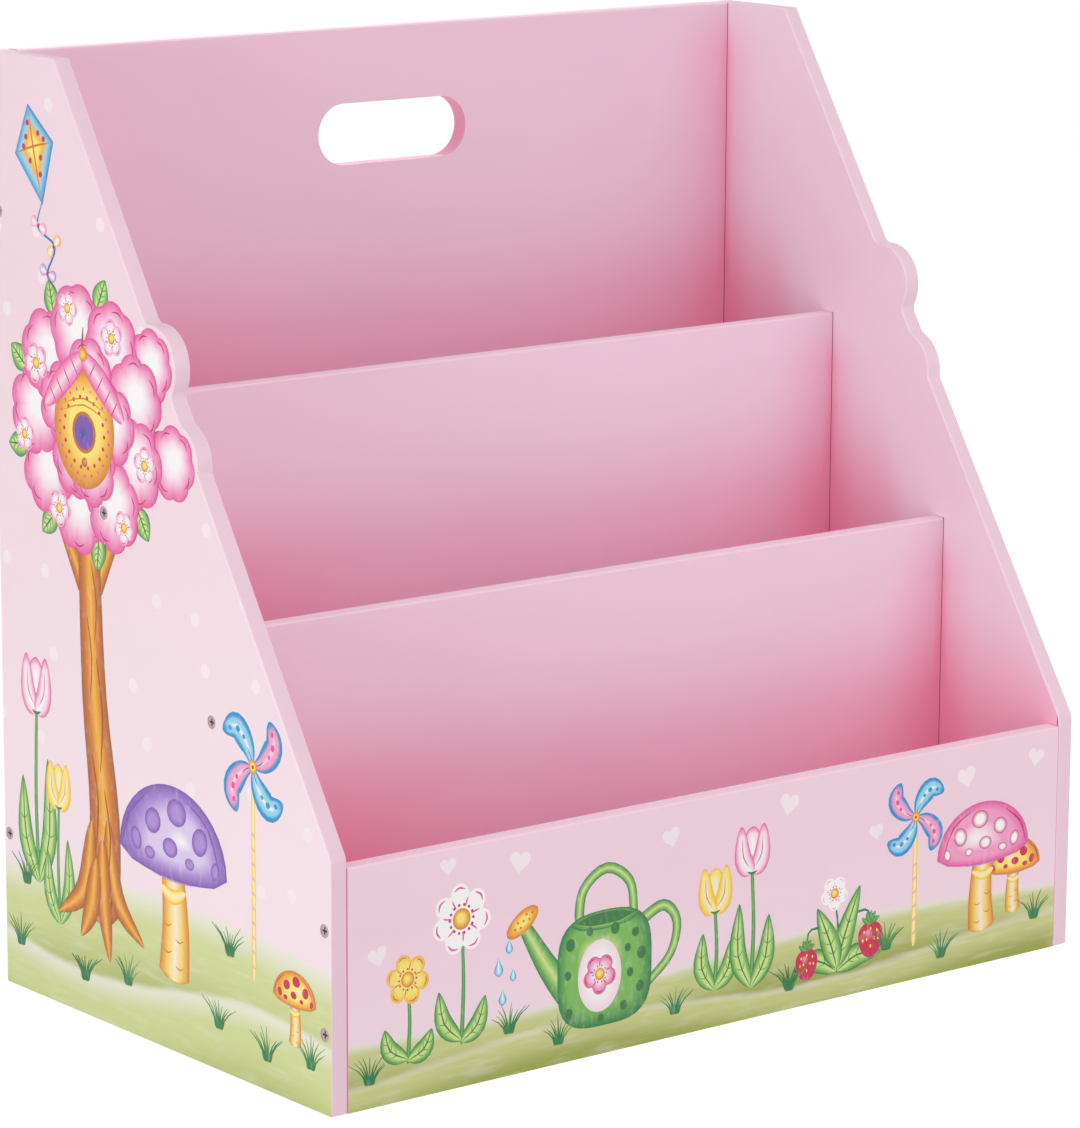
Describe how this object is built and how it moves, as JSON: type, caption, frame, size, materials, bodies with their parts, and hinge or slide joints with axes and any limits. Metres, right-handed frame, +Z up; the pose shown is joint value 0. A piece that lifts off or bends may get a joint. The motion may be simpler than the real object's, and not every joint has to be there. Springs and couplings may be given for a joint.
{
  "type": "kids bookcase",
  "caption": "Low front-facing bookcase for children: sloping side panels carry stepped pockets for picture books, and the back panel has a hand slot.",
  "frame": {"origin": "middle of the footprint, on the floor under the middle of the bounding box", "axes": "+X along the width, -Y towards the front where the books face, +Z up"},
  "size_m": [0.6, 0.352, 0.596],
  "materials": {
    "side_paint": "satin paint on fibreboard, pale pink",
    "inside_paint": "satin paint on fibreboard, pink",
    "front_paint": "satin paint on fibreboard, light pink",
    "zinc_screw": "zinc plated",
    "dowel_wood": "bare beech"
  },
  "bodies": {
    "root": {"left_side_panel": "side_paint", "right_side_panel": "side_paint", "back_panel": "inside_paint", "front_panel": "front_paint", "middle_divider": "inside_paint", "upper_divider": "inside_paint", "lower_shelf": "inside_paint", "middle_shelf": "inside_paint", "upper_shelf": "inside_paint", "back_panel_screws": "zinc_screw", "front_panel_screws": "zinc_screw", "middle_divider_screws": "zinc_screw", "upper_divider_screws": "zinc_screw", "lower_shelf_dowels": "dowel_wood", "middle_shelf_dowels": "dowel_wood", "upper_shelf_dowels": "dowel_wood", "middle_divider_dowels": "dowel_wood", "upper_divider_dowels": "dowel_wood"}
  },
  "joints": []
}
